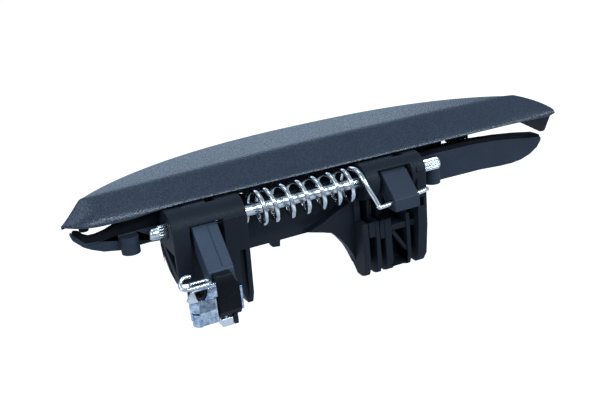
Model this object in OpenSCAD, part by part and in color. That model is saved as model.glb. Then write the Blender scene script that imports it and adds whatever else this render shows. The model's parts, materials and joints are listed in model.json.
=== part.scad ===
// Exterior car door handle with a lift-up flap. A narrow carrier is screwed to the door from
// inside. The flap turns on a steel pin and a torsion spring closes it. The flap's left arm is
// the release lever, which carries a clip for the latch rod.
// Frame: X along the handle, +Z out of the door, -Y on the hinge side. The origin is midway
// between the two fixing bosses, on their end faces.

/* [Hinge pin] */
// Diameter of the plain shank
pin_d = 4.5; // [4:0.1:4.6]
// Diameter over the knurled ends
knurl_d = 5.0; // [4.8:0.1:5.2]
// Length of the pin
pin_len = 121; // [119:0.5:122]

/* [Flap] */
// Length of the flap
flap_len = 211; // [206:1:216]
// Width of the flap at its middle
flap_w = 38; // [36:0.5:40]
// Wall of the flap cover
wall = 2.2; // [1.8:0.1:2.4]

/* [Spring] */
// Wire diameter
wire_d = 1.8; // [1.4:0.1:1.9]
// Mean diameter of the coils
coil_d = 12.4; // [11.5:0.1:12.6]

/* [Mounts] */
// Distance between the two fixing bosses
boss_pitch = 127.5; // [126:0.5:128]
// Bore of the threaded inserts
insert_bore_d = 4.2; // [4:0.1:4.4]
// Diameter of the latch rod that the clip takes
rod_d = 3.2; // [3:0.1:3.4]

/* [Hidden] */
$fn = 48;
gap = 0.5;                                // running room beside moving parts
hinge = [2.2, -6.5, 7.3];                 // hinge axis, at the middle of the pin
boss_y = -hinge[1];                       // boss line, seen from the hinge axis
boss_xs = [-hinge[0] - boss_pitch / 2, -hinge[0] + boss_pitch / 2];
boss_end_z = -hinge[2];
insert_r = 2.6;
insert_h = 4.5;
boss_d = 6.8;
boss_top = -0.7;
sleeve_z = -10.6;                         // lower end of the right boss's locating sleeve
bar_r = 7.3;                              // eyes and bars of the carrier, around the pin
knuckle_r = 5.0;                          // knuckles of the flap frame, around the pin
bush_r = 3.4;
beam_front = 8;                           // the carrier's beam runs behind the pin
beam_back = 18.5;
skin = 2.4;                               // moulded wall of the carrier
left_x0 = -54.2;
inner_x1 = -26.2;
left_window = [-48, -35.4];             // where the left arm passes the carrier
left_arm = [-46.8, -37.4];
right_window = [29, 43.5];
right_arm = [31, 42];
right_x1 = 49.8;

// Sub-parts are drawn around the hinge axis and placed by this.
module at_hinge() translate(hinge) children();
// A side profile of (y, z) points or shapes, as a plate from x0 to x1.
module across(x0, x1) translate([x0, 0, 0]) rotate([90, 0, 90]) linear_extrude(x1 - x0) children();
// A front outline of (x, z) points or shapes, as a plate from y0 to y1.
module along(y0, y1) translate([0, y1, 0]) rotate([90, 0, 0]) linear_extrude(y1 - y0) children();
module shaft(d, x0, x1) translate([x0, 0, 0]) rotate([0, 90, 0]) cylinder(d = d, h = x1 - x0);
module block(lo, hi) translate(lo) cube(hi - lo);

// ---- carrier ----
// Heights of the beam's top and underside along x, from a raised lug at the left tip to the fin.
beam_top = [[-85, 3.9], [-84.4, 3.6], [-81.4, 0.2], [-80.6, -0.5], [-75, -0.8], [-68, -0.5], [-50, 0.2],
    [40, 0.4], [66, 1], [85, 0.8], [96, 0], [107, -1.4], [119.9, -3.3]];
beam_low = [[-85.4, 3.4], [-84.9, 1.4], [-81.7, -1.8], [-79.2, -3.3], [-75, -5.1], [-69.5, -6.1], [-58, -5.9],
    [-52, -6.4], [-50, -18.3], [48, -18.3], [50, -10.9], [87, -11.1], [98, -11.8], [104, -11.9],
    [109, -11.4], [114, -9.9], [118, -7.5], [120, -4.8], [120.1, -3.6]];
pocket_walls = [-72, -61, -49, -36, -22, -8, 8, 22, 36, 52, 66, 80, 94, 106];
function reversed(p) = [for (i = [len(p) - 1 : -1 : 0]) p[i]];
// The beam seen from above narrows towards its ends, under the tips of the flap.
beam_plan = [[-90, beam_front], [123, beam_front], [119, 12], [108, 15.5], [95, beam_back], [-62, beam_back],
    [-76, 15], [-84, 11.5]];
module plan_block(p, z0, z1) translate([0, 0, z0]) linear_extrude(z1 - z0) polygon(p);
module sector(from, to, r) polygon(concat([[0, 0]], [for (i = [0 : 8]) let (a = from + (to - from) * i / 8)
    r * [cos(a), sin(a)]]));

module beam() difference() {
    intersection() {
        along(beam_front, beam_back) polygon(concat(beam_low, reversed(beam_top)));
        plan_block(beam_plan, -40, 20);
    }
    for (i = [0 : len(pocket_walls) - 2])
        let (x0 = pocket_walls[i] + 1, x1 = pocket_walls[i + 1] - 1,
            low = max(lookup(x0, beam_low), lookup(x1, beam_low)))
        along(beam_front + skin, beam_back + 1) polygon([[x0, low + skin], [x1, low + skin],
            [x1, lookup(x1, beam_top) - skin], [x0, lookup(x0, beam_top) - skin]]);
}

// The bar that closes the front of a bracket, over the flap's knuckle, down to an angle.
module bar(x0, x1, low_angle) across(x0, x1) intersection() {
    difference() {
        circle(bar_r);
        circle(knuckle_r + gap);
    }
    sector(98, low_angle, 12);
}

module eye(x0, x1) across(x0, x1) {
    circle(bar_r);
    polygon([[0, 7.2], [beam_front + 1, -0.4], [beam_front + 1, -8], [0, -7.2]]);
}

module left_bracket() {
    eye(left_x0, left_window[0]);
    difference() {
        across(left_x0, left_window[0]) polygon([[-7.2, 1], [-7.2, -16.4], [-6, -18.9], [-4, -18.9],
            [beam_front + 1, -6], [beam_front + 1, 0]]);
        across(left_x0 - 1, left_x0 + 3.4) polygon([[-5.2, -8], [-5.3, -15.2], [5.2, -6.6], [3, -7.6]]);
    }
    eye(left_window[1], inner_x1);
    difference() {
        across(left_window[1], inner_x1) polygon([[-7.3, 1], [-5.2, -30], [-3.4, -34.3], [1.5, -34.6],
            [beam_front + 1, -20], [beam_front + 1, 0]]);
        block([-30.3, -9, -31.8], [-28.1, -4, -12]);
        translate([left_window[1], 0, -15]) rotate([0, -20, 0]) block([-12, -12, -24], [0, 14, 0]);
        translate([inner_x1 - 2, 5.1, -9.45]) rotate([0, 90, 0]) cylinder(r = 1.5, h = 4);
    }
    bar(left_x0, inner_x1, 166);
    // wall behind the lever
    along(beam_front, beam_front + skin) polygon([[-54.4, -5], [-53.9, -11.4], [-52.3, -19.5],
        [-50.5, -25], [-46, -25.8], [-34, -25.8], [-31, -5]]);
}

// Side profile of the right bracket's ribs. They stay outside the spring leg's sweep.
module rib_profile() polygon([[beam_front + 1, -3], [1.6, -7], [1.6, -15.8], [-4, -16.2], [-4.2, -34],
    [-2.8, -38], [-0.5, -38.8], [3, -38.6], [9, -32], [beam_back, -24], [beam_back, -3]]);

// The space that the spring's leg sweeps as the flap opens.
module leg_sweep() difference() {
    circle(15);
    circle(12);
}

module right_bracket() {
    eye(23.4, right_window[0]);
    eye(right_window[1], right_x1);
    bar(23.4, right_x1, 141);
    difference() {
        across(right_window[1] + 2, right_x1) polygon([[-7.3, 1], [-6.6, -22], [-5, -34.5], [-2.6, -38.2],
            [9, -37.6], [beam_back, -26], [beam_back, -3], [beam_front, 1]]);
        across(40, leg_end[0] + gap) leg_sweep();
    }
    for (x = [[21.7, 24.3], [27.3, 29.3], [31.5, 34.6], [41.4, 43.2]])
        across(x[0], x[1]) rib_profile();
    along(beam_front, beam_front + skin) polygon([[21, -10], [21, -30], [22.8, -34], [25, -38.4],
        [44, -38.2], [48, -36.4],
        [48, -10]]);
    // webs that join the ribs in front and below
    along(-3.9, -2.4) polygon([[24, -16.3], [31.8, -16.3], [31.8, -24], [29.3, -24], [29.3, -22.4],
        [24, -22.4]]);
    across(31.5, 43.2) polygon([[-2.6, -37.6], [-0.5, -38.4], [3, -38.2], [8.6, -32], [8.6, -30],
        [2.4, -36.4], [-0.6, -36.6]]);
    // shelf below the flap's right arm, and the brace under it
    block([33, -3.4, -22], [47, 9, -19.6]);
    along(-3.2, -1) polygon([[33.4, -21], [35.6, -21], [42.6, -31.6], [40.8, -31.6]]);
    // web that blends the beam into the bracket
    along(3.4, beam_front + 1) polygon([[2, -16.4], [8.4, -18.1], [12.2, -19.3], [15.6, -22.6], [18.7, -26.8],
        [20.9, -31.2], [22.5, -35.4], [24.1, -37.8], [24.1, -8], [17, -10], [9, -14]]);
}

module carrier() color("#20242b") at_hinge() difference() {
    union() {
        beam();
        left_bracket();
        right_bracket();
        for (x = boss_xs) translate([x, boss_y, boss_end_z]) cylinder(d = boss_d, h = boss_top - boss_end_z);
        translate([boss_xs[1], boss_y, sleeve_z]) cylinder(d = boss_d, h = boss_top - sleeve_z);
        // locating rib below the middle of the beam
        along(beam_front, beam_front + 3) polygon([[-12.7, -17.5], [-11.4, -20.4], [-8.2, -20.8],
            [-7.9, -17.5]]);
    }
    for (x = boss_xs) translate([x, boss_y, sleeve_z - 1])
        cylinder(r = insert_r, h = boss_end_z + insert_h + 0.7 - sleeve_z + 1);
    shaft(pin_d, -54, right_x1);
    shaft(knurl_d, -56, -50.5);
    shaft(knurl_d, 47, 54);
    for (x = stop_xs) translate([x, stop_y, stop_foot]) {
        cylinder(r = 2.6, h = 4);
        translate([0, 0, -2.4]) cylinder(r = 1.6, h = 3);
    }
}

module threaded_inserts() color("#b08d4a") at_hinge() for (x = boss_xs)
    translate([x, boss_y, boss_end_z]) difference() {
        cylinder(r = insert_r, h = insert_h);
        translate([0, 0, -1]) cylinder(d = insert_bore_d, h = insert_h + 2);
    }

// ---- hinge pin and spring ----
pilot = 3.2;                              // smooth nose of the pin's left end
module hinge_pin() color("#c9ced4") at_hinge() {
    shaft(pin_d, -pin_len / 2 + 0.6, pin_len / 2 - 0.6);
    shaft(pin_d - 0.5, -pin_len / 2, pin_len / 2);
    shaft(knurl_d, -pin_len / 2 + pilot, -50.5);
    shaft(knurl_d, 47, pin_len / 2 - 0.8);
}

// Centreline of the spring: a tight turn at each end, open turns between, and two legs. Turns
// count from the first top of the coil, where the coil runs to the front.
open_turns = 5;
open_pitch = 6.5;
tight_pitch = 3.8;
spring_x0 = -19.6;
function coil_x(t) = spring_x0 + tight_pitch * min(t, 1) + open_pitch * max(0, min(t - 1, open_turns))
    + tight_pitch * max(0, t - 1 - open_turns);
function coil_point(t) = [coil_x(t), -coil_d / 2 * sin(360 * t), coil_d / 2 * cos(360 * t)];
coil_from = -0.22;
coil_to = open_turns + 2;
coil_steps = 116;
leg_in = [[-27.2, 5.2, -9.4], [-24.4, 5.6, -8.8], [-21.6, 6.1, -6.4], [-20.8, 6.3, -3.2]];
// The right leg's straight end runs through the flap frame's block, rising a little.
leg_start = [27.2, -11.3, -7.7];
leg_slope = 6.6;
leg_run = 20.8;
leg_end = leg_start + leg_run * [cos(leg_slope), 0, sin(leg_slope)];
leg_out = [[21.2, -3, 6], [21.8, -6.1, 4.1], [22.9, -8.7, -0.4], [24.7, -10.2, -4.8], [25.6, -11, -7],
    leg_start, leg_end];
spring_path = concat(leg_in, [for (i = [0 : coil_steps])
    coil_point(coil_from + (coil_to - coil_from) * i / coil_steps)], leg_out);
ring_sides = 8;

function unit(v) = v / norm(v);
function tangent(p, i) = unit(p[min(i + 1, len(p) - 1)] - p[max(i - 1, 0)]);
// Rings whose seam follows the one before, so that the tube doesn't twist.
function swept(p, r, i, u, rings) = i == len(p) ? rings :
    let (t = tangent(p, i), w = unit(u - (u * t) * t), v = cross(t, w))
    swept(p, r, i + 1, w, concat(rings, [for (k = [0 : ring_sides - 1])
        p[i] + r * (cos(360 * k / ring_sides) * w + sin(360 * k / ring_sides) * v)]));
module tube(p, r) {
    n = ring_sides;
    m = len(p);
    polyhedron(swept(p, r, 0, unit(cross(tangent(p, 0), [0, 0.2, 1])), []), concat(
        [[for (k = [n - 1 : -1 : 0]) k]],
        [for (i = [0 : m - 2], k = [0 : n - 1]) let (a = i * n + k, b = i * n + (k + 1) % n)
            [a, b, b + n, a + n]],
        [[for (k = [0 : n - 1]) (m - 1) * n + k]]));
}
module torsion_spring() color("#d5dade") at_hinge() tube(spring_path, wire_d / 2);

// ---- gaskets and stops on the carrier ----
// A strip on the front of the beam's top, under a line of (x, z) points.
module gasket(tops, w) at_hinge() along(beam_front + 0.2, beam_front + w) polygon(concat(
    tops, [for (p = reversed(beam_top)) if (p[0] > tops[0][0] && p[0] < tops[len(tops) - 1][0]) p]));
module gasket_left() color("#14161a") gasket([[-84.45, 4.2], [-83.8, 4.6], [-82.2, 4.1], [-81, 2.7],
    [-79.2, 1.7], [-76.6, 1.7], [-73.5, 2.3], [-71, 3.2], [-67.5, 4.2], [-56, 4.8], [-50.4, 4.8],
    [-50, 0.2]], 2.6);
module gasket_right() color("#14161a") gasket([[53, 0.7], [53.4, 2.9], [66, 3], [84, 2.8], [88, 2.3],
    [96, 1.8], [107, 0.5], [117.6, -1.2], [119.4, -2.2], [119.7, -3.27]], 4.3);
stop_xs = [-20, 47];
stop_y = 15.8;
stop_foot = -0.8;
stop_top = 0.9;
module bump_stops() color("#101114") at_hinge() for (x = stop_xs) translate([x, stop_y, 0]) {
    translate([0, 0, stop_foot]) cylinder(r = 2.2, h = stop_top - stop_foot);
    translate([0, 0, stop_foot - 2.3]) cylinder(r = 1.6, h = 2.5);
}

// ---- flap cover ----
flap_x0 = -89;
flap_x1 = flap_x0 + flap_len;
near_y = 1;
lip_z = 8.9;                              // where the hinge-side facet begins
// Lower edge of the hinge side, which droops towards the left arm and lifts at the tips.
near_edge = [[-89, 8.7], [-86, 7.9], [-82, 7.2], [-77, 6.7], [-66, 6.6], [-57, 7.4], [-46, 7.9], [100, 7.8],
    [110, 7.5], [118, 7.2], [122, 8.3]];
// From 0 to 1 over the left tip, which turns away from the hinge.
function left_end(x) = max(0, (flap_x0 + 9.5 - x) / 9.5);
function side_y(x) = near_y + 2.8 * pow(left_end(x), 1.4);
function across_t(x) = (2 * x - flap_x0 - flap_x1) / flap_len;
// The far rim in plan: a straight hinge side and an arched far side.
function far_y(x) = near_y + (flap_w - 1) * pow(max(0, 1 - pow(abs(across_t(x)), 2.4)), 0.6);
function far_slope(x) = (far_y(x + 0.2) - far_y(x - 0.2)) / 0.4;
// Rise of the hinge-side facet.
function facet(x) = (0.70 + 0.25 * pow(across_t(x), 2)) * (1 - 0.5 * pow(left_end(x), 0.7));
function top_z(x) = 14.7 + 0.0085 * (x - 7);                 // top face at y = 0
top_rise = 0.165;
function rim_z(x) = 3.2 + 5 * pow(abs(across_t(x)), 6);       // far rim, which lifts at the tips
// Slope of the far bevel.
function bevel_rise(x) = 1.75 - 0.28 * across_t(x) - left_end(x);
// Cross-section at x, w inside the outer face: rim, lip, two creases and the far rim.
function section(x, w, floor_z) = let (
        y0 = side_y(x) + w, yf = max(far_y(x) - w, y0 + 0.2),
        m = facet(x), z0 = lip_z - w * (sqrt(1 + m * m) - m) - (w > 0 ? 0.6 : 0),
        zt = top_z(x) - w, q = sqrt(1 + pow(far_slope(x), 2)), k = bevel_rise(x) / q,
        rz = rim_z(x) + 1.2 - (w > 0 ? 0.8 : 0),
        yc = (zt - z0 + m * y0) / (m - top_rise),
        yb = (rz + k * yf - zt) / (top_rise + k),
        yr = (rz + k * yf - z0 + m * y0) / (m + k),
        ridge = yc >= yb, c = min(ridge ? yr : yc, yf - 0.1), b = min(ridge ? yr + 0.05 : yb, yf - 0.05))
    [[x, y0, w > 0 ? floor_z : lookup(x, near_edge)], [x, y0, z0], [x, c, z0 + m * (c - y0)], [x, (b + c) / 2,
        z0 + m * (c - y0) + (ridge ? 0 : top_rise * (b - c) / 2)], [x, b, rz + k * (yf - b)], [x, yf, rz],
        [x, yf, w > 0 ? floor_z : rim_z(x)]];
module lofted(xs, w, floor_z) {
    p = [for (x = xs) section(x, w, floor_z)];
    n = len(p[0]);
    m = len(p);
    polyhedron([for (s = p) each s], concat(
        [[for (k = [n - 1 : -1 : 0]) k]],
        [for (i = [0 : m - 2], k = [0 : n - 1]) let (a = i * n + k, b = i * n + (k + 1) % n) each
            [[a, b, b + n], [a, b + n, a + n]]],
        [[for (k = [0 : n - 1]) (m - 1) * n + k]]));
}
// Stations along the flap, closer together towards its tips.
function stations(x0, x1, n) = [for (i = [0 : n]) (x0 + x1) / 2 - (x1 - x0) / 2 * cos(180 * i / n)];
screw_xs = [-58, 8, 76];
screw_y = 14;
frame_z = 10.4;                           // underside of the flap frame's plate
frame_t = 2;
screw_r = 1.4;

module flap_cover() color("#2b3038") at_hinge() difference() {
    union() {
        difference() {
            lofted(stations(flap_x0 + 0.4, flap_x1 - 0.4, 44), 0, 0);
            lofted(stations(flap_x0 + 10.4, flap_x1 - 8, 36), wall, -6);
        }
        for (x = screw_xs) translate([x, screw_y, frame_z + frame_t])
            cylinder(r = 2.8, h = top_z(x) - frame_z - frame_t + 1.4);
        // tooth under the hinge side of the right tip
        along(near_y + 0.1, near_y + 2.1) polygon([[flap_x1 - 1.8, 8.4], [flap_x1 - 5.4, 1.3],
            [flap_x1 - 7, 1.1], [flap_x1 - 20, 8.4]]);
    }
    for (x = screw_xs) translate([x, screw_y, frame_z]) cylinder(r = screw_r, h = 5.2);
    for (b = buffers) translate([b[0], b[1], 5]) {
        cylinder(r = 1.8, h = 2.8);
        cylinder(r = 0.9, h = 4.5);
    }
}

// Rubber buffers under the tips, which rest on the door.
buffers = [[flap_x0 + 7.8, 4.6], [flap_x1 - 4.6, 5.6]];
module cover_buffers() color("#101114") at_hinge() for (b = buffers) translate([b[0], b[1], 0]) {
    translate([0, 0, 5.4]) cylinder(r = 1.7, h = 2.4);
    translate([0, 0, 7.6]) cylinder(r = 0.9, h = 1.9);
}

// ---- flap frame: plate, skirt, two arms ----
module knuckle_neck() polygon([[2.7, 4.2], [5.6, 8], [9, 10.8], [11.5, frame_z + 1], [16, frame_z + 1],
    [13, 6],
    [4.9, 0.2]]);
module lever_profile() polygon([[-4.6, 1.5], [-6.2, 0.4], [-17.6, -12.2], [-18.2, -15.6], [-13.4, -17.6],
    [-10.8, -13.6], [-2.6, -4.2]]);
module spring_block_profile() polygon([[-3.6, 3.4], [-5.6, 2.6], [-13.9, -5.8], [-13.9, -10.4], [-8.6, -10.4],
    [-2.8, -4.1]]);

module arm(x0, x1) across(x0, x1) {
    circle(knuckle_r);
    knuckle_neck();
    children();
}

module flap_frame() color("#3a414c") at_hinge() difference() {
    union() {
        block([-60, 11, frame_z], [88, 18.4, frame_z + frame_t]);
        // skirt, in two lengths
        along(16.9, 18.4) polygon(concat([[-58, 0.7]], [for (x = stop_xs, d = [-2.3, 2.3])
            each d < 0 ? [[x + d, 0.7], [x + d, stop_top + 0.1]] : [[x + d, stop_top + 0.1], [x + d, 0.7]]],
            [[52, 0.9], [58, 1.2], [74.2, 1.25], [74.2, frame_z + 1], [-58, frame_z + 1]]));
        along(16.9, 18.4) polygon([[76.8, 1.25], [88, 1], [88, frame_z + 1], [76.8, frame_z + 1]]);
        for (x = [-54, -28, -8, 22, 46, 64]) block([x, 9.6, 7], [x + 1.6, 18.4, frame_z + 1]);
        arm(left_arm[0], left_arm[1]) lever_profile();
        // the lever's inner half stands a little higher
        across(-41.2, left_arm[1]) polygon([[-6.2, 0.2], [-6.4, 0.6], [-17.2, -11.4], [-17, -11.7]]);
        arm(right_arm[0], right_arm[1]) spring_block_profile();
        // tongue inside the lever head
        across(tongue[0], tongue[1]) tongue_profile();
    }
    shaft(2 * bush_r, left_arm[0] - 1, left_arm[1] + 1);
    shaft(2 * bush_r, right_arm[0] - 1, right_arm[1] + 1);
    translate(leg_start) rotate([0, 90 - leg_slope, 0]) cylinder(d = wire_d + 0.3, h = leg_run);
    for (x = screw_xs) translate([x, screw_y, 0]) {
        cylinder(r = 2.8, h = frame_z);
        cylinder(r = screw_r + 0.3, h = frame_z + 4);
    }
    rivet_bore();
}

module frame_screws() color("#9aa0a6") at_hinge() for (x = screw_xs) translate([x, screw_y, 0]) difference() {
    union() {
        translate([0, 0, frame_z - 1.8]) cylinder(r = 2.5, h = 1.8);
        translate([0, 0, frame_z - 0.1]) cylinder(r = screw_r, h = 5.2);
    }
    for (a = [0, 90]) translate([0, 0, frame_z - 1.4]) rotate([0, 0, a]) cube([3.2, 0.7, 1.2], center = true);
}

module bush(x0, x1) color("#d8d4c6") at_hinge() difference() {
    shaft(2 * bush_r, x0, x1);
    shaft(pin_d + 0.12, x0 - 1, x1 + 1);
}
module pivot_bush_left() bush(left_arm[0], left_arm[1]);
module pivot_bush_right() bush(right_arm[0], right_arm[1]);

// ---- lever head and latch rod clip ----
head_pivot = [-18, -20.6];
rivet_r = 1.5;
rivet_room = 0.05;                        // running clearance of the clip's rivet
tongue = [-44.2, -38.9];
head = [-45.8, -37.8];                    // the lever head, from side to side
module tongue_profile() polygon([[-17, -13], [-19.4, -23.6], [-15.8, -24.4], [-13.4, -15]]);
module rivet_bore() translate([-48, head_pivot[0], head_pivot[1]]) rotate([0, 90, 0])
    cylinder(r = rivet_r + rivet_room, h = 14);

module lever_head() color("#15171c") at_hinge() difference() {
    union() {
        across(head[0], head[1]) polygon([[-17.8, -12.6], [-19.9, -13.3], [-20.9, -16], [-22.2, -25.8],
            [-21, -28], [-15.4, -28.6], [-13.6, -27.2], [-12.6, -19.6], [-13.4, -17.6], [-14.8, -15.4]]);
        block([-41, -21.4, -31.6], [-39.4, -17.2, -27.8]);
    }
    across(left_arm[0] - 1, left_arm[1] + 1) lever_profile();
    across(tongue[0], tongue[1]) tongue_profile();
    rivet_bore();
    translate([adjuster[0], adjuster[1], -31]) cylinder(r = adjuster_r, h = 6.5);
}
adjuster = [-43.3, -19.2];
adjuster_r = 1.2;
module adjuster_screw() color("#c9ced4") at_hinge() translate([adjuster[0], adjuster[1], -32.1])
    cylinder(r = adjuster_r, h = 7.6);
module adjuster_nut() color("#e6eaec") at_hinge() translate([adjuster[0], adjuster[1], -31.7]) difference() {
    translate([-2.1, -2.1, 0]) cube([4.2, 4.2, 3]);
    translate([0, 0, -1]) cylinder(r = adjuster_r, h = 6);
}

sheet = 0.9;
clip_x0 = -55.4;
clip_x1 = head[0] - 0.3;                  // the clip's leg lies beside the lever head
clip_front = -22.4;
clip_back = -15;
clip_low = -28.8;
clip_top = -14.2;
rod_at = [-51.8, -16.9];
rod_hole_r = rod_d / 2 - 0.1;
module window_profile() polygon([[-1.2, -2.3], [1, -2.3], [1.9, -0.9], [2.5, 1.5], [-2.5, 1.5], [-1.8, -1]]);
// Front and back walls, with a rolled edge on the free side.
module clip_wall(y) along(y, y + sheet) difference() {
    polygon([[clip_x0 + 0.8, clip_top], [clip_x1 - sheet, clip_top], [clip_x1 - sheet, clip_low],
        [clip_x0 + 2, clip_low], [clip_x0, clip_low + 2.2], [clip_x0 + 0.8, clip_low + 5.2],
        [clip_x0 + 0.1, clip_low + 8], [clip_x0 + 1.4, clip_low + 10.2]]);
    translate(rod_at) window_profile();
}
module rod_clip() color("#d9dfe3") at_hinge() {
    clip_wall(clip_front);
    clip_wall(clip_back - sheet);
    difference() {
        block([clip_x1 - sheet, clip_front, clip_low], [clip_x1, clip_back, -18]);
        rivet_bore();
    }
    block([clip_x0 + 2, clip_front, clip_low], [clip_x1, clip_back, clip_low + sheet]);
    for (z = [clip_low + 2.2, clip_low + 8])
        translate([clip_x0 + 0.75, clip_front + 0.2, z]) rotate([-90, 0, 0])
        cylinder(r = 0.7, h = clip_back - clip_front - 0.4);
}
plate = [head[1] + 0.2, head[1] + 0.2 + sheet];
module clip_rivet() color("#cfd4d8") at_hinge() translate([0, head_pivot[0], head_pivot[1]])
rotate([0, 90, 0]) {
    translate([0, 0, clip_x1 - sheet]) cylinder(r = rivet_r, h = plate[1] - clip_x1 + sheet);
    translate([0, 0, clip_x1 - sheet - 0.7]) cylinder(r = 2, h = 0.7);
    translate([0, 0, plate[1]]) cylinder(r = 2, h = 0.4);
}
module rivet_plate() color("#d9dfe3") at_hinge() difference() {
    across(plate[0], plate[1]) polygon([[-21.4, -18], [-15.6, -18], [-15.6, -26.8], [-21.4, -26.8]]);
    translate([plate[0] - 1, head_pivot[0], head_pivot[1]]) rotate([0, 90, 0]) cylinder(r = rivet_r, h = 4);
}
module rod_grommet() color("#1a1c20") at_hinge() difference() {
    block([clip_x0 + 1.6, clip_front + sheet, clip_low + 7],
        [clip_x1 - sheet - 0.8, clip_back - sheet, clip_top - 0.3]);
    translate([rod_at[0], clip_front - 1, rod_at[1]]) rotate([-90, 0, 0]) cylinder(r = rod_hole_r, h = 12);
}
// Spring wire that closes the clip: a long loop over the front wall, with a hook at its free end.
wire_clip_d = 1.3;
wire_z = -13.5;
wire_path = [[-53.6, -19.2, wire_z + 2.6], [-55.4, -19.4, wire_z + 3], [-57, -19.8, wire_z + 2.6],
    [-58.2, -20.8, wire_z + 1.4], [-58.3, -22, wire_z + 0.5], [-57.2, -23, wire_z], [-55.5, -23.2, wire_z],
    [-50.2, -23.2, wire_z], [-48.8, -22.9, wire_z], [-48, -22, wire_z], [-48.1, -20.9, wire_z + 0.1],
    [-49, -20.2, wire_z + 0.2], [-50.4, -20, wire_z + 0.2], [-54.6, -20, wire_z + 0.2]];
module clip_wire() color("#e6eaec") at_hinge() tube(wire_path, wire_clip_d / 2);

carrier();
threaded_inserts();
hinge_pin();
torsion_spring();
gasket_left();
gasket_right();
bump_stops();
flap_cover();
cover_buffers();
flap_frame();
frame_screws();
pivot_bush_left();
pivot_bush_right();
lever_head();
adjuster_screw();
adjuster_nut();
rod_clip();
clip_rivet();
rivet_plate();
rod_grommet();
clip_wire();
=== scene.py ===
import json
import math

import bmesh
import bpy
from mathutils import Matrix, Vector


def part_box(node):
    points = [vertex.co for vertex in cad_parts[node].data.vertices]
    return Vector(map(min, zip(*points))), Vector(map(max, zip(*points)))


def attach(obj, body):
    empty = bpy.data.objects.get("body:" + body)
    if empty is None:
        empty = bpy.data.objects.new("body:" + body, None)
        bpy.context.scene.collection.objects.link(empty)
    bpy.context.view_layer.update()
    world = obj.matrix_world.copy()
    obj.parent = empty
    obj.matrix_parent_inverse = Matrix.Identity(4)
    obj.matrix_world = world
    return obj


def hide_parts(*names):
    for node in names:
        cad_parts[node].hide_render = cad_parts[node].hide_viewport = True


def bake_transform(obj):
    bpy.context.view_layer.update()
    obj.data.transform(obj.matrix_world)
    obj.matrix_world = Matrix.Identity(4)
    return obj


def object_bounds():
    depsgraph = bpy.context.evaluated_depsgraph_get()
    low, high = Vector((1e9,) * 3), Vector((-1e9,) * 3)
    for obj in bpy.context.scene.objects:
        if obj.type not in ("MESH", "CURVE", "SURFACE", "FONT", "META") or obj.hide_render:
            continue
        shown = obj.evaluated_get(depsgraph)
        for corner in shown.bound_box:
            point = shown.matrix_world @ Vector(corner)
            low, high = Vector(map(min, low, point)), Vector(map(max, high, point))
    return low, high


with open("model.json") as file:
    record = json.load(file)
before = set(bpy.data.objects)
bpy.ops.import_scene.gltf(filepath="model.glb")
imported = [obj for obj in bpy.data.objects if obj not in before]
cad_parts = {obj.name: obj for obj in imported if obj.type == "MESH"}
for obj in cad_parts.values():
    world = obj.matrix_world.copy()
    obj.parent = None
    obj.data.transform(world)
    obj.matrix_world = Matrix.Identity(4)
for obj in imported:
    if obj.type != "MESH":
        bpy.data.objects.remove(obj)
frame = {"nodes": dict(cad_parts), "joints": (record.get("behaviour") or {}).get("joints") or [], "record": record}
CAD_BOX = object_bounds()
NODES = frame["nodes"]
BODY_OF = {n: body for body, names in frame["record"]["behaviour"]["bodies"].items() for n in names}
HINGE = Vector(frame["joints"][0]["pos_m"])
MM = 0.001


def from_hinge(x, y, z):
    """A point in millimetres from the middle of the hinge pin, in the row frame."""
    return HINGE + Vector((x, y, z)) * MM


# ---- camera, at the photograph's viewing angle ----
AZIMUTH = math.radians(-24.89)
ELEVATION = math.radians(18.99)
ROLL = math.radians(5.66)
DISTANCE = 0.3328
PIN_OFFSET = (0.00146, 0.00154)   # where the pin's middle lies in the picture plane
LENS = 53.52


def make_camera():
    back = Vector((math.sin(AZIMUTH) * math.cos(ELEVATION), -math.cos(AZIMUTH) * math.cos(ELEVATION),
                   math.sin(ELEVATION)))
    level = Vector((math.cos(AZIMUTH), math.sin(AZIMUTH), 0))
    upright = back.cross(level)
    right = level * math.cos(ROLL) - upright * math.sin(ROLL)
    up = level * math.sin(ROLL) + upright * math.cos(ROLL)
    camera = bpy.data.objects.new("camera", bpy.data.cameras.new("camera"))
    bpy.context.scene.collection.objects.link(camera)
    place = HINGE + back * DISTANCE - right * PIN_OFFSET[0] - up * PIN_OFFSET[1]
    camera.matrix_world = Matrix.Translation(place) @ Matrix((right, up, back)).transposed().to_4x4()
    camera.data.lens = LENS
    camera.data.sensor_width = 36
    camera.data.clip_start = 0.01
    bpy.context.scene.camera = camera


# ---- studio ----
# name, place from the hinge and size in metres, power in watts, colour
SOFTBOXES = [
    ("back", (0.02, 0.75, 0.52), 1.3, 0.5, 3.6, (0.60, 0.79, 1)),
    ("top", (-0.2, -0.02, 0.9), 0.35, 0.35, 1.3, (0.64, 0.81, 1)),
    ("front", (0.33, -0.8, 0.56), 0.8, 0.1, 7.5, (0.70, 0.86, 1)),
    ("side", (-0.85, -0.35, 0.25), 0.3, 0.5, 1.5, (0.70, 0.86, 1)),
]
# how light the studio is at each height, from straight down at 0 to straight up at 1
SKY_LOW, SKY_HIGH, SKY_TINT = (0.35, 0.44, 0.55, 1), (0.28, 0.36, 0.46, 1), (0.78, 0.92, 1.1)
SKY_BANDS = [(0.26, 0.95), (0.43, 0.22), (0.50, 0.24), (0.62, 0.60), (0.75, 0.40)]


def area_light(name, place, width, height, power, colour):
    """A softbox at a place from the hinge, in metres, that aims at the hinge."""
    light = bpy.data.lights.new(name, "AREA")
    light.shape = "RECTANGLE"
    light.size = width
    light.size_y = height
    light.energy = power
    light.color = colour
    lamp = bpy.data.objects.new(name, light)
    bpy.context.scene.collection.objects.link(lamp)
    lamp.location = HINGE + Vector(place)
    lamp.rotation_euler = (-Vector(place)).to_track_quat("-Z", "Y").to_euler()


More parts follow.
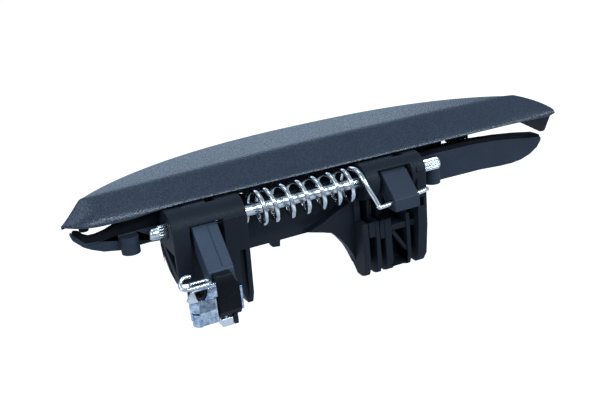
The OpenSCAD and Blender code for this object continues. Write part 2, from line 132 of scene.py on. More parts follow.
def make_studio():
    world = bpy.data.worlds.new("studio")
    bpy.context.scene.world = world
    world.use_nodes = True
    tree = world.node_tree
    place = tree.nodes.new("ShaderNodeTexCoord")
    split = tree.nodes.new("ShaderNodeSeparateXYZ")
    ramp = tree.nodes.new("ShaderNodeValToRGB")
    tree.links.new(place.outputs["Generated"], split.inputs[0])
    height = tree.nodes.new("ShaderNodeMath")
    height.operation = "MULTIPLY_ADD"
    height.inputs[1].default_value = 0.5
    height.inputs[2].default_value = 0.5
    tree.links.new(split.outputs["Z"], height.inputs[0])
    tree.links.new(height.outputs[0], ramp.inputs[0])
    stops = ramp.color_ramp.elements
    stops[0].position, stops[0].color = 0.06, SKY_LOW
    stops[1].position, stops[1].color = 0.95, SKY_HIGH
    for position, level in SKY_BANDS:
        stops.new(position).color = [tint * level for tint in SKY_TINT] + [1]
    tree.links.new(ramp.outputs[0], tree.nodes["Background"].inputs[0])
    tree.nodes["Background"].inputs[1].default_value = 1.0
    for name, place, width, tall, power, colour in SOFTBOXES:
        area_light(name + " softbox", place, width, tall, power, colour)


def make_floor(drop=0.012, reach=6.0):
    """A plain pale floor, which lights the object from below only through the studio's own light."""
    low = CAD_BOX[0][2] - drop
    grid = bmesh.new()
    bmesh.ops.create_grid(grid, x_segments=2, y_segments=2, size=reach)
    mesh = bpy.data.meshes.new("floor")
    grid.to_mesh(mesh)
    grid.free()
    floor = bpy.data.objects.new("floor", mesh)
    bpy.context.scene.collection.objects.link(floor)
    floor.location = (HINGE.x, HINGE.y, low)
    skin = bpy.data.materials.new("floor")
    skin.use_nodes = True
    tree = skin.node_tree
    shader = tree.nodes["Principled BSDF"]
    tone = tree.nodes.new("ShaderNodeTexNoise")
    tone.inputs["Scale"].default_value = 3
    mix = tree.nodes.new("ShaderNodeMix")
    mix.data_type = "RGBA"
    mix.inputs["A"].default_value = (0.40, 0.40, 0.40, 1)
    mix.inputs["B"].default_value = (0.42, 0.42, 0.42, 1)
    tree.links.new(tone.outputs["Fac"], mix.inputs["Factor"])
    tree.links.new(mix.outputs["Result"], shader.inputs["Base Color"])
    shader.inputs["Roughness"].default_value = 0.9
    shader.inputs["Specular IOR Level"].default_value = 0.0
    shader.inputs["Emission Color"].default_value = (1, 1, 1, 1)
    shader.inputs["Emission Strength"].default_value = 0.86
    mesh.materials.append(skin)
    floor.visible_diffuse = False
    floor.visible_glossy = False


# ---- materials ----
def linear(r, g, b):
    """A colour in 0..255 as the scene's linear light."""
    def one(v):
        return v / 255 / 12.92 if v < 10.3 else ((v / 255 + 0.055) / 1.055) ** 2.4
    return one(r), one(g), one(b), 1


def noise(tree, scale, detail=2.0, rough=0.5, stretch=None):
    where = tree.nodes.new("ShaderNodeTexCoord")
    grain = tree.nodes.new("ShaderNodeTexNoise")
    grain.inputs["Scale"].default_value = scale
    grain.inputs["Detail"].default_value = detail
    grain.inputs["Roughness"].default_value = rough
    if stretch:
        shape = tree.nodes.new("ShaderNodeMapping")
        shape.inputs["Scale"].default_value = stretch
        tree.links.new(where.outputs["Object"], shape.inputs["Vector"])
        tree.links.new(shape.outputs["Vector"], grain.inputs["Vector"])
    else:
        tree.links.new(where.outputs["Object"], grain.inputs["Vector"])
    return grain


def ramp(tree, source, low, high, start=0.3, stop=0.7):
    node = tree.nodes.new("ShaderNodeValToRGB")
    node.color_ramp.elements[0].position = start
    node.color_ramp.elements[1].position = stop
    node.color_ramp.elements[0].color = low
    node.color_ramp.elements[1].color = high
    tree.links.new(source, node.inputs[0])
    return node.outputs[0]


def bumps(tree, sources, strength, depth):
    """Bump from one height after another, each (socket, share of the depth)."""
    last = None
    for source, share in sources:
        node = tree.nodes.new("ShaderNodeBump")
        node.inputs["Strength"].default_value = strength
        node.inputs["Distance"].default_value = depth * share
        tree.links.new(source, node.inputs["Height"])
        if last:
            tree.links.new(last, node.inputs["Normal"])
        last = node.outputs["Normal"]
    return last


def plastic(name, dark, light, rough, grain=0.35, depth=0.03, specular=0.4, speckle=0.12, blotch=45):
    """Moulded plastic: a colour that drifts a little, a fine pitted grain (sizes in millimetres)."""
    made = bpy.data.materials.new(name)
    made.use_nodes = True
    tree = made.node_tree
    shader = tree.nodes["Principled BSDF"]
    drift = noise(tree, blotch, 3)
    fine = noise(tree, 1 / (grain * MM), 2, 0.6)
    pits = tree.nodes.new("ShaderNodeTexVoronoi")
    pits.inputs["Scale"].default_value = 0.8 / (grain * MM)
    where = tree.nodes.new("ShaderNodeTexCoord")
    tree.links.new(where.outputs["Object"], pits.inputs["Vector"])
    tone = tree.nodes.new("ShaderNodeMix")
    tone.data_type = "RGBA"
    tone.blend_type = "MULTIPLY"
    tone.inputs["Factor"].default_value = 1.0
    tree.links.new(ramp(tree, drift.outputs["Fac"], dark, light), tone.inputs["A"])
    darker, lighter = (1 - speckle,) * 3 + (1,), (1 + speckle,) * 3 + (1,)
    tree.links.new(ramp(tree, fine.outputs["Fac"], darker, lighter, 0.4, 0.6), tone.inputs["B"])
    tree.links.new(tone.outputs["Result"], shader.inputs["Base Color"])
    tree.links.new(ramp(tree, fine.outputs["Fac"], (rough + 0.1,) * 3 + (1,), (rough - 0.1,) * 3 + (1,)),
                   shader.inputs["Roughness"])
    heights = [(fine.outputs["Fac"], 1.0), (pits.outputs["Distance"], 0.6)]
    tree.links.new(bumps(tree, heights, 0.8, depth * MM), shader.inputs["Normal"])
    shader.inputs["Specular IOR Level"].default_value = specular
    return made


def metal(name, dark, light, rough, streak=(1, 1, 1), streak_size=0.6, depth=0.004, mottle=0.9, blur=0.06):
    """Zinc-plated steel: a mottled bright coat over faint drawing marks."""
    made = bpy.data.materials.new(name)
    made.use_nodes = True
    tree = made.node_tree
    shader = tree.nodes["Principled BSDF"]
    patches = noise(tree, 1 / (mottle * MM), 3, 0.65)
    marks = noise(tree, 1 / (streak_size * MM), 3, 0.6, streak)
    tree.links.new(ramp(tree, patches.outputs["Fac"], dark, light, 0.35, 0.65), shader.inputs["Base Color"])
    tree.links.new(ramp(tree, marks.outputs["Fac"], (rough,) * 3 + (1,), (rough + blur,) * 3 + (1,)),
                   shader.inputs["Roughness"])
    tree.links.new(bumps(tree, [(marks.outputs["Fac"], 1.0), (patches.outputs["Fac"], 1.5)], 0.5, depth * MM),
                   shader.inputs["Normal"])
    shader.inputs["Metallic"].default_value = 1.0
    return made


def foam(name, dark, light):
    """Closed-cell foam or soft rubber: dull, with fine cells."""
    made = bpy.data.materials.new(name)
    made.use_nodes = True
    tree = made.node_tree
    shader = tree.nodes["Principled BSDF"]
    cells = tree.nodes.new("ShaderNodeTexVoronoi")
    cells.inputs["Scale"].default_value = 2200
    where = tree.nodes.new("ShaderNodeTexCoord")
    tree.links.new(where.outputs["Object"], cells.inputs["Vector"])
    drift = noise(tree, 120, 3)
    tree.links.new(ramp(tree, drift.outputs["Fac"], dark, light), shader.inputs["Base Color"])
    tree.links.new(ramp(tree, cells.outputs["Distance"], (0.78,) * 3 + (1,), (0.92,) * 3 + (1,), 0.1, 0.6),
                   shader.inputs["Roughness"])
    tree.links.new(bumps(tree, [(cells.outputs["Distance"], 1.0)], 0.7, 0.05 * MM), shader.inputs["Normal"])
    shader.inputs["Specular IOR Level"].default_value = 0.15
    return made


def paint_light_along_x(material, start, stop, factor, both_ways=True):
    """Colour scaled by a factor past a distance along x: painted light and shade, such as the ends of the beam
    painted lighter where less shade falls on them.
    """
    tree = material.node_tree
    shader = tree.nodes["Principled BSDF"]
    where = tree.nodes.new("ShaderNodeTexCoord")
    split = tree.nodes.new("ShaderNodeSeparateXYZ")
    size = tree.nodes.new("ShaderNodeMath")
    size.operation = "ABSOLUTE" if both_ways else "ADD"
    size.inputs[1].default_value = 0
    grow = tree.nodes.new("ShaderNodeMapRange")
    grow.inputs["From Min"].default_value = start * MM
    grow.inputs["From Max"].default_value = stop * MM
    grow.inputs["To Min"].default_value = 1.0
    grow.inputs["To Max"].default_value = factor
    scale = tree.nodes.new("ShaderNodeVectorMath")
    scale.operation = "SCALE"
    tree.links.new(where.outputs["Object"], split.inputs[0])
    tree.links.new(split.outputs["X"], size.inputs[0])
    tree.links.new(size.outputs[0], grow.inputs["Value"])
    old = shader.inputs["Base Color"].links[0].from_socket
    tree.links.new(old, scale.inputs[0])
    tree.links.new(grow.outputs[0], scale.inputs["Scale"])
    tree.links.new(scale.outputs[0], shader.inputs["Base Color"])


CARRIER = plastic("carrier nylon", linear(26, 30, 37), linear(34, 39, 47), 0.5, 0.4, 0.03, 0.14)
COVER = plastic("cover grain", linear(41, 48, 60), linear(46, 54, 67), 0.30, 0.5, 0.12, 0.55, 0.5)
# painted light: the carrier's ends, past 51 mm from x = 0 either way, are painted up to 2.3 times lighter where
# less shade falls
paint_light_along_x(CARRIER, 51, 58, 2.3)
# painted light: the frame is the same black nylon as the carrier, painted lighter where the lever and block catch
# more light
FRAME_PAINTED_LIGHTER = plastic("frame nylon painted lighter", linear(55, 64, 78), linear(65, 74, 89), 0.46, 0.4, 0.03, 0.3)
# painted shade: the frame is painted darker towards +x, down to 0.6 of its colour from x = -10 mm to 10 mm, so the
# block on the right reads darker than the lever
paint_light_along_x(FRAME_PAINTED_LIGHTER, -10, 10, 0.6, False)
HEAD = plastic("gloss black", linear(10, 12, 18), linear(15, 18, 25), 0.25, 0.6, 0.01, 0.3)
BLACK_PLASTIC_AND_SHADE = plastic("black plastic and painted shade", linear(22, 21, 24), linear(32, 30, 32), 0.5, 0.3, 0.02, 0.3)
ACETAL = plastic("natural acetal", linear(205, 198, 178), linear(218, 212, 196), 0.35, 0.5, 0.01, 0.5)
RUBBER = foam("rubber", linear(14, 15, 18), linear(22, 23, 27))
FOAM = foam("gasket foam", linear(12, 13, 16), linear(20, 22, 26))
ZINC_WIRE = metal("bright wire", linear(226, 229, 231), linear(244, 246, 247), 0.12, (1, 1, 1), 0.5, 0.003)
ZINC_SHEET = metal("zinc sheet", linear(120, 144, 180), linear(226, 235, 240), 0.13, (1, 1, 1), 0.8, 0.014,
                   1.8)
BRIGHT_ZINC_AND_HIGHLIGHT = metal("nut zinc and painted highlight", linear(226, 230, 235), linear(243, 246, 248), 0.34, (1, 1, 1), 0.6, 0.004)
PIN_STEEL = metal("drawn steel", linear(222, 226, 230), linear(240, 243, 246), 0.2, (0.15, 3, 3), 0.9, 0.0015)
SCREW_STEEL = metal("screw steel", linear(150, 153, 158), linear(186, 190, 194), 0.3, (1, 1, 1), 0.4, 0.004)
BRASS = metal("turned brass", linear(196, 164, 96), linear(216, 186, 120), 0.25, (1, 1, 8), 0.5, 0.004)


# ---- pieces ----
def add_piece(name, body_mesh, node, material, body=None, smooth=35):
    """A finished mesh that rides on its node's body, or on no body when body is blend."""
    mesh = bpy.data.meshes.new(name)
    bmesh.ops.recalc_face_normals(body_mesh, faces=body_mesh.faces)
    body_mesh.to_mesh(mesh)
    body_mesh.free()
    piece = bpy.data.objects.new(name, mesh)
    bpy.context.scene.collection.objects.link(piece)
    for face in mesh.polygons:
        face.use_smooth = True
    mesh.set_sharp_from_angle(angle=math.radians(smooth))
    mesh.materials.append(material)
    if body != "blend":
        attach(piece, body or BODY_OF[node])
    return piece


def fair(piece):
    """Even shading over flat faces, with sharp edges kept."""
    piece.modifiers.new("fair", "WEIGHTED_NORMAL").keep_sharp = True


def cleaned(node):
    """The CAD node's mesh, with its doubled points and flat seams joined."""
    work = bmesh.new()
    work.from_mesh(NODES[node].data)
    bmesh.ops.remove_doubles(work, verts=work.verts, dist=0.004 * MM)
    bmesh.ops.dissolve_limit(work, angle_limit=math.radians(0.6), verts=work.verts, edges=work.edges)
    return work


def soften(work, width, segments, angle, clamp=False):
    """Rounds the edges that bend by more than an angle."""
    sharp = [e for e in work.edges if len(e.link_faces) == 2 and e.calc_face_angle(0) > math.radians(angle)
             and e.calc_length() > 0.05 * MM]
    bmesh.ops.bevel(work, geom=sharp, offset=width * MM, segments=segments, profile=0.6, affect="EDGES",
                    clamp_overlap=clamp)
    bmesh.ops.remove_doubles(work, verts=work.verts, dist=0.01 * MM)


def rounded(node, width, material, segments=2):
    """The CAD node with its edges rounded, as moulded or tumbled parts have them."""
    work = cleaned(node)
    soften(work, width, segments, 28)
    piece = add_piece(node + "_body", work, node, material, smooth=50)
    fair(piece)
    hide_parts(node)


def skin_rings(work, rings, closed=True):
    """Faces between rings of points, each ring a list of the same length."""
    rows = [[work.verts.new(p) for p in ring] for ring in rings]
    n = len(rows[0])
    for a, b in zip(rows, rows[1:]):
        for k in range(n if closed else n - 1):
            work.faces.new((a[k], a[(k + 1) % n], b[(k + 1) % n], b[k]))
    return rows


def tube(points, radius, sides=14):
    """A round wire along points, with domed ends."""
    work = bmesh.new()
    rings = []
    side = None
    count = len(points)
    for i, p in enumerate(points):
        along = (points[min(i + 1, count - 1)] - points[max(i - 1, 0)]).normalized()
        if side is None:
            side = along.orthogonal().normalized()
        side = (side - along * side.dot(along)).normalized()
        other = along.cross(side)
        ring = lambda r, shift=0.0: [p + along * shift + (side * math.cos(a) + other * math.sin(a)) * r
                                     for a in (2 * math.pi * k / sides for k in range(sides))]
        if i == 0:
            rings += [ring(radius * 0.35, 0), ring(radius * 0.8, radius * 0.12)]
            rings.append(ring(radius, radius * 0.4))
        elif i == count - 1:
            rings.append(ring(radius, -radius * 0.4))
            rings += [ring(radius * 0.8, -radius * 0.12), ring(radius * 0.35, 0)]
        else:
            rings.append(ring(radius))
    rows = skin_rings(work, rings)
    work.faces.new(rows[0][::-1])
    work.faces.new(rows[-1])
    return work


def smooth_path(points, steps=6):
    """A rounded path through points (Catmull-Rom)."""
    out = []
    n = len(points)
    for i in range(n - 1):
        p0, p1, p2, p3 = (points[max(0, min(n - 1, i + d))] for d in (-1, 0, 1, 2))
        for k in range(steps):
            t = k / steps
            out.append(0.5 * ((2 * p1) + (p2 - p0) * t + (2 * p0 - 5 * p1 + 4 * p2 - p3) * t * t
                              + (3 * p1 - p0 - 3 * p2 + p3) * t ** 3))
    return out + [points[-1]]


def prism(outline, y0, y1, width=0.3, segments=3):
    """A plate with rounded edges, from an (x, z) outline, between two depths."""
    work = bmesh.new()
    front = [work.verts.new(from_hinge(x, y0, z)) for x, z in outline]
    back = [work.verts.new(from_hinge(x, y1, z)) for x, z in outline]
    n = len(outline)
    work.faces.new(front)
    work.faces.new(back[::-1])
    for k in range(n):
        work.faces.new((front[k], back[k], back[(k + 1) % n], front[(k + 1) % n]))
    bmesh.ops.recalc_face_normals(work, faces=work.faces)
    bmesh.ops.bevel(work, geom=list(work.edges), offset=width * MM, segments=segments, profile=0.5,
                    affect="EDGES")
    return work


# the cuts that round the head's inner upper corner away: x, z and the slope of each
HEAD_CUTS = [(-39.7, -12.6, (0.62, 0.78)), (-38.6, -15.0, (0.93, 0.36))]


def lever_head():
    """The black head, with its inner upper corner rounded away and all edges soft."""
    work = cleaned("lever_head")
    for x, z, slope in HEAD_CUTS:
        cut = bmesh.ops.bisect_plane(work, geom=work.verts[:] + work.edges[:] + work.faces[:],
                                     plane_co=from_hinge(x, 0, z), plane_no=(slope[0], 0, slope[1]),
                                     clear_outer=True)
        rim = [e for e in cut["geom_cut"] if isinstance(e, bmesh.types.BMEdge)]
        bmesh.ops.holes_fill(work, edges=rim, sides=0)
    bmesh.ops.recalc_face_normals(work, faces=work.faces)
    soften(work, 0.7, 4, 20, clamp=True)
    piece = add_piece("lever_head_body", work, "lever_head", HEAD, smooth=50)
    fair(piece)
    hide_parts("lever_head")


# ---- flap cover: the CAD's section, with rounded creases and a grained skin ----
LOW, HIGH = (v / MM for v in (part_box("flap_cover")[0] - HINGE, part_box("flap_cover")[1] - HINGE))
FLAP_X0, FLAP_X1 = LOW.x - 0.4, HIGH.x + 0.4
FLAP_LEN = FLAP_X1 - FLAP_X0
FLAP_W = 38.0
NEAR_Y, LIP_Z, WALL = 1.0, 8.9, 2.2
EDGE = 0.45        # how wide the flat lower edges are
INNER_LIP = 0.3    # how tall the inner lip is: it has to end above the brackets' rounded tops
NEAR_EDGE = [(-89, 8.7), (-86, 7.9), (-82, 7.2), (-77, 6.7), (-66, 6.6), (-57, 7.4), (-46, 7.9), (100, 7.8),
             (110, 7.5), (118, 7.2), (122, 8.3)]


def near_z(x):
    """The hinge side's lower edge, with its bends smoothed."""
    def plain(x):
        x = max(NEAR_EDGE[0][0], min(NEAR_EDGE[-1][0], x))
        for (xa, za), (xb, zb) in zip(NEAR_EDGE, NEAR_EDGE[1:]):
            if x <= xb:
                return za + (zb - za) * (x - xa) / (xb - xa)
    return sum(plain(x + d) for d in (-1.5, -0.5, 0.5, 1.5)) / 4


def across_t(x):
    return (2 * x - FLAP_X0 - FLAP_X1) / FLAP_LEN


def left_end(x):
    """How far the left end has begun, from 0 to 1, with its start eased."""
    return sum(max(0.0, (FLAP_X0 + 9.5 - x - d) / 9.5) for d in (-2.4, -1.2, 0, 1.2, 2.4)) / 5


def far_y(x):
    return NEAR_Y + (FLAP_W - 1) * max(0.0, 1 - abs(across_t(x)) ** 2.4) ** 0.6


def corners(x, w):
    """The bends of the flap's section at x, w inside its outer face, as y and z in turn."""
    t = across_t(x)
    y0 = NEAR_Y + 2.8 * left_end(x) ** 1.4 + w
    yf = max(far_y(x) - w, y0 + 0.2)
    m = (0.70 + 0.25 * t * t) * (1 - 0.5 * left_end(x) ** 0.7)
    z0 = LIP_Z - w * (math.sqrt(1 + m * m) - m)
    zt = 14.7 + 0.0085 * (x - 7) - w
    slope = (far_y(x + 0.2) - far_y(x - 0.2)) / 0.4
    k = (1.75 - 0.28 * t - left_end(x)) / math.sqrt(1 + slope * slope)
    rz = 3.2 + 5 * abs(t) ** 6 + 1.2 - (0.8 if w else 0)
    yc = (zt - z0 + m * y0) / (m - 0.165)
    yb = (rz + k * yf - zt) / (0.165 + k)
    yr = (rz + k * yf - z0 + m * y0) / (m + k)
    ridge = yc >= yb
    c = min(yr - 0.02 if ridge else yc, yf - 0.1)
    b = min(yr + 0.05 if ridge else yb, yf - 0.05)
    return y0, z0, c, z0 + m * (c - y0), b, rz + k * (yf - b), yf, rz


def rounded_line(points, radii, steps=6):
    """A polyline whose bends are rounded: each bend becomes steps + 1 points."""
    out = [points[0]]
    for i in range(1, len(points) - 1):
        p, a, b = points[i], points[i - 1] - points[i], points[i + 1] - points[i]
        before, after = radii[i - 1] if isinstance(radii[i - 1], tuple) else (radii[i - 1],) * 2
        room = 0.8 if before > 1.2 else 0.45
        start = p + a.normalized() * min(before, room * a.length) if a.length > 1e-6 else p
        stop = p + b.normalized() * min(after, 0.45 * b.length) if b.length > 1e-6 else p
        for k in range(steps + 1):
            t = k / steps
            out.append(start.lerp(p, t).lerp(p.lerp(stop, t), t))
    return out + [points[-1]]


def flap_section(x, w):
    """The rounded section at x, from the hinge side's lower edge over the top to the far rim."""
    y0, z0, c, zc, b, zb, yf, rz = corners(x, w)
    t = across_t(x)
    bottom = near_z(x) if not w else z0 - INNER_LIP
    rim = 3.2 + 5 * abs(t) ** 6
    if w:
        rim = rz - 0.2
    bends = [(y0 + EDGE, bottom), (y0, bottom), (y0, z0), (c, zc), (b, zb), (yf, rz), (yf, rim),
             (yf - EDGE, rim)]
    line = [Vector(bend) for bend in bends]
    radii = [0.3, (1.7, 7.0), 1.8, 1.8, 0.9, 0.4]
    fine = rounded_line(line, radii)
    return [from_hinge(x, p.x, p.y) for p in fine]


def stations(x0, x1, n):
    return [(x0 + x1) / 2 - (x1 - x0) / 2 * math.cos(math.pi * i / n) for i in range(n + 1)]


def flap_cover():
    work = bmesh.new()
    outer = [flap_section(x, 0) for x in stations(FLAP_X0 + 0.42, FLAP_X1 - 0.42, 150)]
    rows = skin_rings(work, outer, closed=False)
    inner = [flap_section(x, WALL) for x in stations(FLAP_X0 + 10.4, FLAP_X1 - 8, 110)]
    rows_in = skin_rings(work, inner, closed=False)
    # rim: between the outer and the inner lower edges, and the solid tips
    def side(rows, k):
        return [r[k] for r in rows]
    for k, flip in ((0, False), (-1, True)):
        a, b = side(rows, k), side(rows_in, k)
        j = 0
        for i in range(len(a) - 1):
            while j < len(b) - 1 and abs(b[j + 1].co.x - a[i + 1].co.x) <= abs(b[j].co.x - a[i + 1].co.x):
                work.faces.new((a[i], b[j + 1], b[j]) if flip else (a[i], b[j], b[j + 1]))
                j += 1
            work.faces.new((a[i], a[i + 1], b[j]) if flip else (a[i + 1], a[i], b[j]))
        while j < len(b) - 1:
            work.faces.new((a[-1], b[j + 1], b[j]) if flip else (a[-1], b[j], b[j + 1]))
            j += 1
    work.faces.new(rows[0])
    work.faces.new(rows[-1][::-1])
    work.faces.new(rows_in[0][::-1])
    work.faces.new(rows_in[-1])
    bmesh.ops.remove_doubles(work, verts=work.verts, dist=0.01 * MM)
    piece = add_piece("flap_cover_body", work, "flap_cover", COVER, smooth=60)
    fair(piece)
    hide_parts("flap_cover")
    # painted shade: the tooth is part of the cover, given the darker black plastic where shade falls on it below
    # the lip
    outline = [(FLAP_X1 - 0.8, 9.3), (FLAP_X1 - 5.0, 1.3), (FLAP_X1 - 7, 1.1), (FLAP_X1 - 20, 8.6)]
    tooth = prism(outline, 2.0, 3.8)
    add_piece("flap_tooth", tooth, "flap_cover", BLACK_PLASTIC_AND_SHADE, smooth=50)


# ---- torsion spring ----
WIRE_R, COIL_R = 0.9, 6.2
OPEN_TURNS, OPEN_PITCH, TIGHT_PITCH, SPRING_X0 = 5, 6.5, 3.8, -19.6
LEG_START, LEG_SLOPE, LEG_RUN = (27.2, -11.3, -7.7), math.radians(6.6), 20.8


def spring_points():
    def coil(t):
        x = SPRING_X0 + TIGHT_PITCH * min(t, 1) + OPEN_PITCH * max(0, min(t - 1, OPEN_TURNS)) \
            + TIGHT_PITCH * max(0, t - 1 - OPEN_TURNS)
        return from_hinge(x, -COIL_R * math.sin(2 * math.pi * t), COIL_R * math.cos(2 * math.pi * t))
    leg_in = [(-27.2, 5.2, -9.4), (-24.4, 5.6, -8.8), (-21.6, 6.1, -6.4), (-20.8, 6.3, -3.2)]
    leg_out = [(21.2, -3, 6), (21.8, -6.1, 4.1), (22.9, -8.7, -0.4), (24.7, -10.2, -4.8), (25.6, -11, -7),
               LEG_START]
    x, y, z = LEG_START
    end = (x + LEG_RUN * math.cos(LEG_SLOPE), y, z + LEG_RUN * math.sin(LEG_SLOPE))
    first, last = -0.22, OPEN_TURNS + 2
    turns = 40 * (OPEN_TURNS + 2)
    start = smooth_path([from_hinge(*p) for p in leg_in] + [coil(first)], 5)[:-1]
    finish = smooth_path([coil(last - 0.01)] + [from_hinge(*p) for p in leg_out] + [from_hinge(*end)], 6)[1:]
    return start + [coil(first + (last - first) * i / turns) for i in range(turns + 1)] + finish


def torsion_spring():
    wire = tube(spring_points(), WIRE_R * MM)
    piece = add_piece("spring_wire", wire, "torsion_spring", ZINC_WIRE, body="blend", smooth=60)
    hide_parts("torsion_spring")
    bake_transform(piece)


# ---- hinge pin with fluted ends ----
def hinge_pin():
    low, high = (v / MM for v in (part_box("hinge_pin")[0] - HINGE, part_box("hinge_pin")[1] - HINGE))
    work = bmesh.new()
    flutes, per = 14, 8          # grooves round the knurl, and points in each
    plain, crest, groove = 2.25, 2.5, 0.65
    left, right = low.x, high.x
    # x, radius and how deep the grooves are there, from 0 to 1
    stops = [(left, 1.2, 0), (left + 0.15, 1.7, 0), (left + 0.8, 2.15, 0), (left + 1.5, plain, 0),
             (left + 3.0, plain, 0), (left + 3.4, crest, 0.5), (left + 3.8, crest, 1), (-51, crest, 1),
             (-50.5, plain, 0), (0, plain, 0), (47, plain, 0), (47.5, crest, 1), (right - 1.2, crest, 1),
             (right - 0.8, crest, 0.6), (right - 0.35, 2.2, 0.2), (right - 0.05, 1.75, 0), (right, 1.3, 0)]
    rings = []
    for x, r, cut in stops:
        ring = []
        for k in range(flutes * per):
            wave = abs(math.sin(math.pi * k / per))
            a = 2 * math.pi * k / (flutes * per)
            depth = groove * cut * (1 - wave)
            ring.append(from_hinge(x, (r - depth) * math.cos(a), (r - depth) * math.sin(a)))
        rings.append(ring)
    rows = skin_rings(work, rings)
    work.faces.new(rows[0][::-1])
    work.faces.new(rows[-1])
    piece = add_piece("pin_steel", work, "hinge_pin", PIN_STEEL, smooth=50)
    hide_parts("hinge_pin")


# ---- clip: a bent sheet with rolled flanges ----
CLIP_FRONT, CLIP_BACK, CLIP_LOW, CLIP_SILL, CLIP_TOP, SHEET = -22.4, -15.0, -28.8, -19.2, -14.2, 0.9
EASE = 0.12   # how far the flanges' corners are broken


def crease(z):
    """How far the front wall bulges forward at a height: it is folded outward across its middle."""
    fold = -23.7
    return -0.5 * (1 - abs(z - fold) / 4.5) if z > fold else -0.5 + 0.85 * (fold - z) / 5.1


def bent_sheet():
    outer = [(-53.3, -22.4), (-50, -22.4), (-47.8, -22.4), (-46.9, -22.2), (-46.3, -21.6), (-46.1, -20.8),
             (-46.1, -18), (-46.1, -15)]
    inner = [(-53.3, -21.5), (-50, -21.5), (-48, -21.5), (-47.5, -21.4), (-47.1, -21.1), (-47, -20.6),
             (-47, -18), (-47, -15)]
    share = [1, 1, 1, 0.6, 0.2, 0, 0, 0]
    rings = []
    for z in (CLIP_LOW, -28.6, -27.5, -26, -24.6, -24, -23.7, -23.4, -22.8, -21.5, -20, -19.35, CLIP_SILL):
        inset = 0.15 if z in (CLIP_LOW, CLIP_SILL) else 0
        shift = crease(z)
        near = [from_hinge(x, y + shift * k + inset * (k > 0.5), z) for (x, y), k in zip(outer, share)]
        far = [from_hinge(x, y + shift * k - inset * (k > 0.5), z) for (x, y), k in zip(inner, share)]
        rings.append(near + far[::-1])
    work = bmesh.new()
    rows = skin_rings(work, rings)
    work.faces.new(rows[0][::-1])
    work.faces.new(rows[-1])
    return work


def curl(z0, z1, middle=(-53.1, -20.25), radius=2.35):
    """A flange rolled back from the wall's free edge."""
    work = bmesh.new()
    rings = []
    for k in range(15):
        a = math.radians(-6 + 116 * k / 14)
        hollow = radius - SHEET
        ends = (radius - EASE, radius, radius, radius - EASE, hollow + EASE, hollow, hollow, hollow + EASE)
        heights = (z0, z0 + EASE, z1 - EASE, z1, z1, z1 - EASE, z0 + EASE, z0)
        rings.append([from_hinge(middle[0] - r * math.sin(a), middle[1] - r * math.cos(a), z)
                      for r, z in zip(ends, heights)])
    rows = skin_rings(work, rings)
    work.faces.new(rows[0][::-1])
    work.faces.new(rows[-1])
    return work


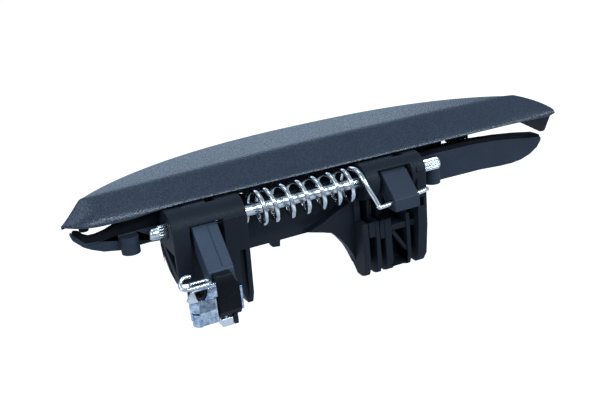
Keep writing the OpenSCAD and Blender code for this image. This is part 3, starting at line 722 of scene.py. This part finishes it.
def rod_clip():
    def piece(name, work, material=ZINC_SHEET):
        return add_piece("clip_" + name, work, "rod_clip", material, smooth=40)
    body = piece("sheet", bent_sheet())
    fair(body)
    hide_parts("rod_clip")
    piece("flange_upper", curl(-23.5, -19.4, (-53.2, -20.3), 2.3))
    piece("flange_lower", curl(-28.6, -24.0, (-52.9, -20.2), 2.55))
    piece("strap", prism([(-54.9, -15.5), (-46.3, -15.5), (-46.2, CLIP_TOP), (-54.7, CLIP_TOP)], CLIP_FRONT,
                         CLIP_FRONT + SHEET, 0.2))
    post = [(-50.9, -19.3), (-46.2, -19.3), (-46.2, -15.3), (-49.3, -15.3), (-49.8, -17.8)]
    piece("post", prism(post, CLIP_FRONT, CLIP_FRONT + SHEET, 0.12))
    # painted highlight: the ear is part of the clip's sheet, given the nut's brighter zinc to show the light it
    # catches
    ear = [(-53.0, -19.3), (-56.3, -19.1), (-57.1, -18.0), (-55.1, -15.0), (-54.2, -15.4), (-53.7, -17.9)]
    piece("ear", prism(ear, CLIP_FRONT - 0.15, CLIP_FRONT + SHEET - 0.15, 0.12), BRIGHT_ZINC_AND_HIGHLIGHT)
    back = [(-54.4, CLIP_LOW), (-46.9, CLIP_LOW), (-46.9, -19.4), (-50.9, -19.4), (-53, -19.2), (-54.6, -16)]
    piece("back", prism(back, CLIP_BACK - SHEET, CLIP_BACK, 0.2))
    base = [(-53.4, CLIP_LOW), (-46.9, CLIP_LOW), (-46.9, CLIP_LOW + SHEET), (-53.4, CLIP_LOW + SHEET)]
    piece("floor", prism(base, CLIP_FRONT + 0.9, CLIP_BACK - SHEET + 0.1, 0.15))


# ---- clip wire ----
def clip_wire():
    z = -13.5
    path = [(-53.6, -19.2, z + 2.6), (-55.4, -19.4, z + 3), (-57, -19.8, z + 2.6), (-58.2, -20.8, z + 1.4),
            (-58.3, -22, z + 0.5), (-57.2, -23, z), (-55.5, -23.2, z), (-50.2, -23.2, z), (-48.8, -22.9, z),
            (-48, -22, z), (-48.1, -20.9, z + 0.1), (-49, -20.2, z + 0.2), (-50.4, -20, z + 0.2),
            (-54.6, -20, z + 0.2)]
    wire = tube(smooth_path([from_hinge(*p) for p in path], 6), 0.65 * MM)
    piece = add_piece("clip_wire_loop", wire, "clip_wire", ZINC_WIRE, smooth=60)
    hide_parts("clip_wire")


make_camera()
make_studio()
make_floor()
bpy.context.scene.view_settings.view_transform = "Standard"
rounded("carrier", 0.35, CARRIER)
rounded("flap_frame", 0.3, FRAME_PAINTED_LIGHTER)
lever_head()
for node, width, material, segments in [
    ("gasket_left", 0.3, FOAM, 2),
    ("gasket_right", 0.3, FOAM, 2),
    ("bump_stops", 0.4, RUBBER, 3),
    ("cover_buffers", 0.4, RUBBER, 3),
    ("pivot_bush_left", 0.15, ACETAL, 2),
    ("pivot_bush_right", 0.15, ACETAL, 2),
    ("adjuster_nut", 0.3, BRIGHT_ZINC_AND_HIGHLIGHT, 2),
    ("adjuster_screw", 0.2, SCREW_STEEL, 2),
    ("frame_screws", 0.12, SCREW_STEEL, 2),
    ("threaded_inserts", 0.15, BRASS, 2),
    ("clip_rivet", 0.2, ZINC_SHEET, 2),
    ("rivet_plate", 0.2, ZINC_SHEET, 2),
    ("rod_grommet", 0.25, BLACK_PLASTIC_AND_SHADE, 2),
]:
    rounded(node, width, material, segments)
flap_cover()
torsion_spring()
hinge_pin()
clip_wire()
rod_clip()
